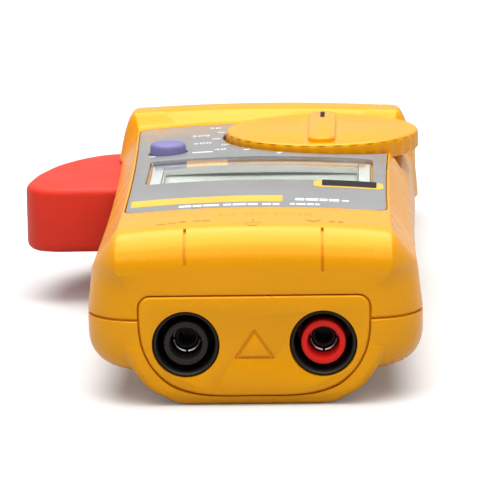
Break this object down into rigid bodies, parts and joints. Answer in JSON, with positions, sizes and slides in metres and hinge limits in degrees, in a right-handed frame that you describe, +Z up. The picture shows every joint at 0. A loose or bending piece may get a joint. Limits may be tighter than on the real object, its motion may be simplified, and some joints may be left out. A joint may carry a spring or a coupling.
{
  "type": "clamp meter",
  "caption": "Hand-held clamp meter with split current jaws, side trigger, rotary selector, display and two shrouded test sockets, lying on its back.",
  "frame": {"origin": "on the flat rear rest face, on the case centre plane, half way along the whole length", "axes": "+X to the right and +Y from the test sockets to the jaw tip, seen from the display side; +Z up out of the display"},
  "size_m": [0.076, 0.2022, 0.0334],
  "materials": {
    "case_plastic": "fine satin moulded texture",
    "trigger_plastic": "satin",
    "jack_red": "semi-gloss",
    "jack_black": "semi-gloss",
    "inner_plastic": "satin",
    "face_plastic": "satin printed overlay",
    "display_glass": "clear, polished",
    "button_rubber": "matt",
    "board": "solder mask",
    "screw_steel": "plated",
    "contact_metal": "plated",
    "brass_strap": "plain",
    "winding": "enamelled copper wire",
    "core_iron": "laminated sheet",
    "contact_rubber": "matt",
    "cell_sleeve": "printed sleeve"
  },
  "bodies": {
    "case": {"front_case": "case_plastic", "rear_case": "case_plastic", "jack_panel": "case_plastic", "battery_door": "case_plastic", "fixed_jaw_front_cover": "case_plastic", "fixed_jaw_rear_cover": "case_plastic", "jack_sleeve_volts": "jack_red", "jack_sleeve_common": "jack_black", "jack_cup_common": "jack_black", "jack_cup_volts": "jack_black", "battery_tray": "inner_plastic", "buzzer": "inner_plastic", "face_plate": "face_plastic", "display_window": "display_glass", "display_panel": "display_glass", "circuit_board": "board", "battery_door_screw": "screw_steel", "case_screw_1": "screw_steel", "case_screw_2": "screw_steel", "case_screw_3": "screw_steel", "case_screw_4": "screw_steel", "pivot_pin": "screw_steel", "jaw_spring": "screw_steel", "hold_switch": "screw_steel", "jack_contact_common": "contact_metal", "jack_contact_volts": "contact_metal", "battery_contact_near": "contact_metal", "battery_contact_far": "contact_metal", "jack_strap_common": "brass_strap", "jack_strap_volts": "brass_strap", "fixed_jaw_coil": "winding", "fixed_jaw_core": "core_iron", "display_strip_near": "contact_rubber", "display_strip_far": "contact_rubber", "battery_left": "cell_sleeve", "battery_right": "cell_sleeve"},
    "jaw": {"moving_jaw_front_cover": "case_plastic", "moving_jaw_rear_cover": "case_plastic", "moving_jaw_core": "core_iron", "moving_jaw_coil": "winding", "trigger": "trigger_plastic"},
    "dial": {"dial_knob": "case_plastic", "dial_rotor": "inner_plastic"},
    "button": {"hold_button": "button_rubber"}
  },
  "joints": [
    {"name": "jaw_hinge", "type": "hinge", "parent": "case", "child": "jaw", "pos_m": [-0.019, 0.016, 0.0142], "axis": [0, 0, 1], "range_deg": [0, 20], "stiffness_Nm_per_rad": 0.6, "springref_deg": -28.65},
    {"name": "dial_turn", "type": "hinge", "parent": "case", "child": "dial", "pos_m": [0.0112, -0.005, 0.03], "axis": [0, 0, 1], "range_deg": [-60, 90]},
    {"name": "button_press", "type": "slide", "parent": "case", "child": "button", "axis": [0, 0, -1], "range_m": [0, 0.001], "stiffness_N_per_m": 800}
  ]
}
